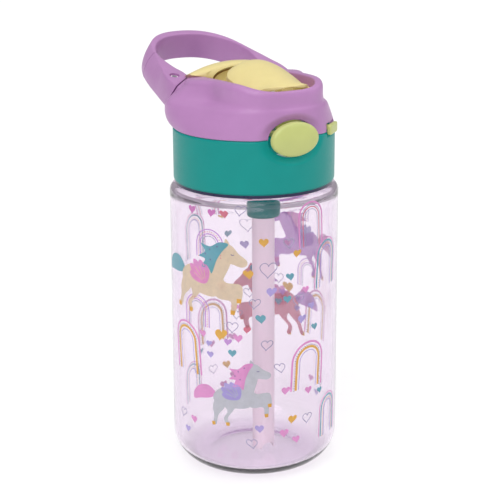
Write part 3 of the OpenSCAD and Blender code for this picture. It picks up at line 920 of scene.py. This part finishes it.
def lid():
    wall, skin_top, shelf_z, foot_in = 2.2, 174.6, 164.2, 30
    columns = []
    for t in ANGLES:
        opening = button_edge(t, LID_R * math.sin(math.radians(t)), LID_GAP)
        base = LID_BASE + max(opening, LID_NOTCH * notch(t))
        edge = lid_skin(t, base)
        profile = [(edge - wall, base + 0.4), (edge - wall + 0.3, base), (edge - 0.6, base),
                   (edge - 0.2, base + 0.1), (edge - 0.04, base + 0.35)]
        profile += [(lid_skin(t, z), z) for z in spread(base + 0.7, skin_top, 44)]
        outer = lid_skin(t, skin_top)
        inner = open_radius(t)
        lip = min(3.2, max(0.8, (outer - inner) * 0.45))
        for a in spread(0, 90, 8)[1:]:
            s, c = math.sin(math.radians(a)), math.cos(math.radians(a))
            profile.append((outer - lip * (1 - c), skin_top + (CREST - skin_top) * s))
        profile.append((mix(outer - lip, inner + 0.7, 0.5), CREST))
        for a in spread(90, 180, 5):
            s, c = math.sin(math.radians(a)), math.cos(math.radians(a))
            profile.append((inner + 0.7 + 0.7 * c, CREST - 0.7 + 0.7 * s))
        profile += [(inner, 172), (inner, 167.2)]
        shelf = lid_radius(t, 164.5) - wall - 0.3
        profile += [(max(shelf - 1.2, inner + 0.4), 165.6), (max(shelf, inner + 0.6), shelf_z)]
        low_in = max(lid_radius(t, 158) - wall, foot_in)
        profile.append((min(low_in, edge - wall), mix(base, shelf_z, 0.45)))
        columns.append([lid_point(r, t, z) for r, z in profile])
    piece = make("lid_shell", *ring_solid(columns), PURPLE)
    for side in (-1, 1):
        boolean(piece, root_cutter(side))
        boss = make("boss", *tube(side_rings(side, -11, 20, 40)), PURPLE)
        point, normal = seam_plane(side, 0)
        cut_flat(boss, point, -normal)
        boolean(piece, boss, "UNION")
    recolour(piece, PURPLE)
    finish_mesh(piece, 38)
    settle(piece, "cap", ("lid_cover",))


# ---------- carry loop ----------

TILT = math.radians(15)
LOOP_NORMAL = Vector((0, -math.sin(TILT), math.cos(TILT)))
LOOP_Y, LOOP_Z, LOOP_MID = 12, 165.2, 24
LOOP_A, LOOP_B, LOOP_N = 23.9, 36.4, 2.4
BAND_W = 12.5
SLIT = 42.25
PIN_X, PIN_V = 25.6, 16
# along the loop, then across it: its inner side, its top edge and its widest place
SIDE_TABLE = [
    (-11, 19.2, 25.6, 28.5), (-4, 19.2, 28.2, 31.6), (5, 19.3, 29.7, 31.8),
    (9, 19.3, 30.1, 31.7), (14, 19.3, 30.2, 31.3), (18.6, 19.7, 29.7, 30.9),
    (23.6, 21.1, 28.3, 30.4), (30, 22.1, 26.8, 29.8), (36, 22.5, 25.2, 29),
    (42.4, 21.85, 23.6, 27.8)]
side_inner, side_top, side_low = (curve_through(SIDE_TABLE, k) for k in (1, 2, 3))
SEAM_POINT = Vector((20.8, 22.2, 174.4))
SEAM_NORMAL = Vector((0.611, 0.568, 0.550)).normalized()


def in_loop(x, v, n):
    """A point of the loop's tilted plane: x across, v along, n out of the plane."""
    return (x, LOOP_Y + v * math.cos(TILT) - n * math.sin(TILT),
            LOOP_Z + v * math.sin(TILT) + n * math.cos(TILT))


def seam_plane(side, gap):
    """(point, normal) of the face where a side of the loop meets the lid, in metres."""
    point, normal = SEAM_POINT + SEAM_NORMAL * gap, SEAM_NORMAL
    return (Vector((side * point.x, point.y, point.z)) * MM,
            Vector((side * normal.x, normal.y, normal.z)))


def cut_flat(piece, point, normal, side=0):
    """Keeps what normal points to and closes the cut; side 1 or -1 leaves the other half be."""
    with editing(piece) as bm:
        faces = [f for f in bm.faces if all(v.co.x * side >= 0 for v in f.verts)]
        near = list({v for f in faces for v in f.verts}) + list({e for f in faces for e in f.edges})
        cut = bmesh.ops.bisect_plane(bm, geom=near + faces, dist=1e-7,
                                     plane_co=point, plane_no=normal, clear_inner=True)
        edges = [e for e in cut["geom_cut"] if isinstance(e, bmesh.types.BMEdge)]
        if edges:
            bmesh.ops.holes_fill(bm, edges=edges, sides=0)


def prism(name, outline, low, high):
    """A prism on a flat outline of the loop's plane, from n = low to high."""
    n = len(outline)
    points = [in_loop(x, v, low) for x, v in outline] + [in_loop(x, v, high) for x, v in outline]
    faces = [tuple(range(n - 1, -1, -1)), tuple(range(n, 2 * n))]
    faces += [(i, (i + 1) % n, n + (i + 1) % n, n + i) for i in range(n)]
    return make(name, points, faces, PURPLE)


def root_cutter(side):
    """Clears the lid behind the seam, outside the loop's inner side on one side."""
    outline = [(18.7, -40), (18.7, 14), (20.4, 23.6), (21.4, 30), (21.4, 60), (60, 60), (60, -40)]
    outline = [(side * x, v) for x, v in outline]
    piece = prism("cutter", outline, -60, 60)
    cut_flat(piece, *seam_plane(side, 0))
    finish_mesh(piece)
    return piece


def band_ring(x, v, out, top, low):
    """The loop's section: flat inside, narrow top, full rounded outside."""
    h = BAND_W / 2
    section = [(0, -h + 0.9), (0, h - 0.9), (0.12, h - 0.45), (0.4, h - 0.12), (0.85, h),
               (top - 0.7, h), (top - 0.25, h - 0.1)]
    for t in spread(0, 1, 12):
        section.append((top + (low - top) * (1 - (1 - t) ** 2.1), mix(h - 0.4, -h + 1.6, t)))
    section += [(low - 0.15, -h + 0.8), (low - 0.6, -h + 0.2), (low - 1.2, -h), (0.9, -h),
                (0.4, -h + 0.12), (0.12, -h + 0.45)]
    return [in_loop(x + out.x * w, v + out.y * w, n) for w, n in section]


def side_rings(side, start, end, count):
    """Rings along one side of the loop."""
    rings = []
    for v in spread(start, end, count):
        x = side_inner(v)
        rings.append(band_ring(side * x, v, Vector((side, 0)), side_top(v) - x, side_low(v) - x))
    return rings


def arch_rings(start, end, count):
    """Rings over the far end of the loop, from its right side to its left."""
    rings = []
    for a in spread(start, end, count):
        x, v = superellipse(LOOP_A, LOOP_B, LOOP_N, a)
        xa, va = superellipse(LOOP_A, LOOP_B, LOOP_N, a - 0.5)
        xb, vb = superellipse(LOOP_A, LOOP_B, LOOP_N, a + 0.5)
        out = Vector((vb - va, -(xb - xa))).normalized()
        near = smooth(1 - (a - start) / 26), smooth(1 - (end - a) / 26)
        for side, share in ((1, near[0]), (-1, near[1])):
            out = (out * (1 - share) + Vector((side, 0)) * share).normalized()
        rise = math.sin(math.radians(180 * (a - start) / (end - start))) ** 1.5
        rings.append(band_ring(x, LOOP_MID + v, out, 1.8 + 2.9 * rise, 5.95 - 0.35 * rise))
    return rings


def handle():
    """The fixed part of the loop, and the gate, which stops short of it at the slit."""
    root = -3.5
    turn = math.degrees(math.asin(((SLIT - LOOP_MID) / LOOP_B) ** (LOOP_N / 2)))
    rings = side_rings(1, root, SLIT - 0.4, 46) + arch_rings(turn, 180 - turn - 0.1, 130)
    loop = make("loop_band", *tube(rings), PURPLE)
    cut_flat(loop, *seam_plane(1, 0.05), side=1)
    soften_cut(loop)
    settle(loop, "cap", ("handle_loop",))
    gate = make("gate_band", *tube(side_rings(-1, root, SLIT - 0.2, 46)), PURPLE)
    cut_flat(gate, *seam_plane(-1, 0.75))
    soften_cut(gate)
    middle = (GATE_PIN_LOW + GATE_PIN_HIGH) / 2
    top = Vector(in_loop(-PIN_X, PIN_V, BAND_W / 2))
    boolean(gate, cylinder_at(middle, 1.25, 40))
    boolean(gate, cylinder_at(top, 2.3, 2.6))
    recolour(gate, PURPLE)
    finish_mesh(gate, 38)
    settle(gate, "gate", ("handle_gate",))
    head = cylinder_at(top - LOOP_NORMAL * 1.5, 1.75, 1.4)
    head.name = "gate_pin_head"
    recolour(head, MILKY)
    settle(head, "cap")


def cylinder_at(middle, r, length):
    """A closed cylinder along the loop plane's normal."""
    x = Vector((1, 0, 0))
    y = LOOP_NORMAL.cross(x)
    rings = []
    for s in (-length / 2, length / 2):
        rings.append([middle + LOOP_NORMAL * s + (x * math.cos(a) + y * math.sin(a)) * r
                      for a in angles_round(32)])
    return make("bore", *tube(rings), STEEL)


def soften_cut(piece, width=0.14):
    """A small bevel on the sharp end faces of a band."""
    with editing(piece) as bm:
        bmesh.ops.recalc_face_normals(bm, faces=bm.faces)
        big = [f for f in bm.faces if len(f.verts) > 8]
        edges = list({e for f in big for e in f.edges})
        if edges:
            bmesh.ops.bevel(bm, geom=edges, offset=width * MM, segments=2, profile=0.6,
                            affect="EDGES", clamp_overlap=True)
    piece.data.shade_smooth()
    piece.data.set_sharp_from_angle(angle=math.radians(38))


# ---------- flip cover, button, lock ----------

# place along the lid, half width, height of the top and of the lower edge
COVER_TABLE = [
    (-30.2, 5.5, 176.9, 175.5), (-29.2, 8.6, 177.3, 174.9), (-26.5, 11.4, 178.0, 173.8),
    (-22, 13.2, 179.1, 171.5), (-16, 14.3, 180.9, 170.5), (-10, 14.9, 182.5, 170),
    (-5, 14.8, 183.5, 170), (-1, 13.6, 183.8, 170), (2, 11.2, 183.3, 170.5), (4, 8, 182.4, 171)]
cover_half = curve_through(COVER_TABLE, 1)
cover_top = curve_through(COVER_TABLE, 2)
cover_low = curve_through(COVER_TABLE, 3)


def cover_section(y):
    """Closed outline of the flip cover's shell across the lid at y."""
    w, top, low = cover_half(y), cover_top(y), cover_low(y)
    crown = 6.2 * (w / 14.5) ** 2 * (0.35 + 0.65 * smooth((y + 31) / 9))
    low = min(low, top - crown - 0.9)
    wall = mix(0.9, 1.8, smooth((y + 30) / 5))
    outer, inner = [], []
    for a in spread(0, 180, 40):
        u = math.cos(math.radians(a))
        outer.append((w * u, y, top - crown * u * u))
        inner.append(((w - wall) * u, y, top - wall - crown * u * u))
    side = outer[0][2] - 0.3
    left = [(-w, y, side), (-w, y, mix(side, low, 0.5)), (-w + 0.1, y, low + 0.3),
            (-w + 0.4, y, low), (-w + wall - 0.4, y, low), (-w + wall, y, low + 0.3)]
    right = [(-x, q, z) for x, q, z in reversed(left)]
    return outer + left + list(reversed(inner)) + right


def block(low, high, bevel=0.25):
    """A box with small bevels, as (points, faces)."""
    bm = bmesh.new()
    bmesh.ops.create_cube(bm, size=1)
    for v in bm.verts:
        v.co = Vector([mix(low[k], high[k], v.co[k] + 0.5) for k in range(3)])
    bmesh.ops.bevel(bm, geom=bm.edges[:], offset=bevel, segments=2, affect="EDGES", profile=0.5)
    bm.verts.index_update()
    shape = [tuple(v.co) for v in bm.verts], [tuple(v.index for v in f.verts) for f in bm.faces]
    bm.free()
    return shape


def knuckle(x0, x1, r, bore):
    """A short tube across the lid round the cover's hinge."""
    rings = []
    for x, q in ((x0, bore), (x0, r - 0.3), (x0 + 0.3, r), (x1 - 0.3, r), (x1, r - 0.3),
                 (x1, bore)):
        rings.append([(x, HINGE_Y + q * math.cos(a), HINGE_Z + q * math.sin(a))
                      for a in angles_round(48)])
    points = [p for ring in rings for p in ring]
    return points, grid(len(rings), 48, wrap_rows=True)


def flip_cover():
    tip, tip_z, tail = COVER_TABLE[0][0], 176.4, COVER_TABLE[-1][0]
    rings = [cover_section(y) for y in spread(tip, -26, 14)[:-1] + spread(-26, tail, 50)]
    nose = []
    for ahead, size in ((0.45, 0.55), (0.18, 0.85)):
        nose.append([(x * size, tip - ahead, mix(tip_z, z, size)) for x, _, z in rings[0]])
    shapes = [tube(nose + rings)]
    cheek_x, cheek_r, bore = 11.9, 3.4, 1.55
    for side in (-1, 1):
        x = side * cheek_x
        shapes.append(knuckle(x - 2, x + 2, cheek_r, bore))
        shapes.append(block((x - 2, HINGE_Y - cheek_r, HINGE_Z + 2),
                            (x + 1.2, HINGE_Y + 0.6, HINGE_Z + 6)))
    catch = 166.6
    shapes.append(block((-3, -28.9, catch), (3, -27.4, catch + 8.6)))
    shapes.append(block((-6, -28.9, catch), (3, -26.4, catch + 1.4)))
    make("flip_cover_shell", *joined(*shapes), YELLOW, "cover", "yellow_plastic",
         ("flip_cover",), 40)


def hood():
    """The wide arch behind the flip cover, with a recess for its hinge."""
    half, curve_r, top, back_top, low = 22.3, 56, 181.1, 175.2, 172.6
    recess_half, recess_low, recess_rise = 13.7, 174.7, 5
    columns = []
    for t in spread(0, 180, 72):
        c, s = math.cos(math.radians(t)), math.sin(math.radians(t))
        x = -half * c
        drop = curve_r - math.sqrt(curve_r ** 2 - x ** 2)
        crest = top - drop
        back_z = back_top - drop * 0.6
        front = (-recess_half * c, 12, recess_low + recess_rise * s)
        column = [(front[0] + 0.9 * c, 24, front[2] - 0.9), (front[0] + 0.3 * c, 12.8, front[2] - 0.5),
                  (front[0], 12, front[2]), (front[0] - 0.3 * c, 12.2, front[2] + 0.35)]
        for k, bulge in ((0.25, 0.5), (0.5, 0.7), (0.75, 0.55)):
            column.append((mix(front[0], x, k), mix(12.2, 15.4, k) - bulge * s,
                           mix(front[2] + 0.35, crest, k) + bulge * 0.5 * s))
        column += [(x, 15.6, crest), (x * 0.995, 17.2, crest + 0.15), (x * 0.985, 20, crest - 0.3),
                   (x * 0.965, 24, mix(crest, back_z, 0.35)), (x * 0.94, 28, mix(crest, back_z, 0.78)),
                   (x * 0.92, 31, back_z), (x * 0.9, 31, low), (mix(front[0], x, 0.5), 24, low)]
        columns.append(column)
    make("cradle_arch", *tube(columns), YELLOW, "cap", "yellow_plastic", sharp=50)
    # painted shade: a darker yellow skin inside the hinge recess, where the recess lies in shadow
    shade_rows = []
    for t in spread(0, 180, 48):
        c, s = math.cos(math.radians(t)), math.sin(math.radians(t))
        shade_rows.append([(-(13.5 - d) * c, y, 174.6 - d + (4.9 - 0.3) * s)
                       for y, d in ((12.5, 0.2), (12.9, 0.5), (23.8, 1.2), (23.8, 1.7), (12.9, 0.9))])
    make("cradle_painted_shade", *tube(shade_rows), PAINTED_SHADE_YELLOW, "cap", "yellow_plastic", sharp=50)


def button():
    """The domed face, and behind it the latch arm with its hook."""
    rings = []
    depth = [(0, 34.3), (0, 35.6), (0.12, 36.0), (0.45, 36.45), (1.1, 36.85), (2.2, 37.2),
             (3.6, 37.5), (5.2, 37.72), (6.6, 37.83)]
    for inset, y in depth:
        rings.append([((BUTTON_A - inset) * math.cos(a), -y,
                       BUTTON_Z + (BUTTON_B - inset) * math.sin(a))
                      for a in angles_round(96)])
    latch_z = BUTTON_Z + 0.2
    arm_half, hook_half, hook_z, top = 6.8, 3.2, BUTTON_HIGH.z - 1.5, BUTTON_HIGH.z
    parts = [tube(rings), block((-arm_half, -34.5, latch_z), (arm_half, -24.2, latch_z + 2)),
             block((-hook_half, -26.1, latch_z - 1.7), (hook_half, -24.2, top)),
             block((-hook_half, -27.2, hook_z), (hook_half, -25.2, top))]
    make("button_cap", *joined(*parts), GREEN, "button", "yellow_plastic", ("release_button",), 40)


# ---------- build ----------

camera()
studio()
bottle()
prints()
collar()
lid()
handle()
flip_cover()
hood()
button()
moulded("lock_slide", "lock_slider", GREEN, "lock", 0.18, 50, 0.5)
moulded("cradle_hood", "cover_cradle", YELLOW, "cap", 0.3, 5, 0.35)

LOOKS = {
    "lid_gasket": SILICONE, "connector_seal": SILICONE, "vent_valve": SILICONE,
    "cover_seal": SILICONE, "mouthpiece": SILICONE, "straw": MILKY,
    "straw_connector": DARK_TEAL, "cover_pin": STEEL, "cover_spring": STEEL,
    "button_spring": STEEL, "gate_pin": STEEL, "gate_spring": STEEL}
for node, material in LOOKS.items():
    recolour(NODES[node], material)
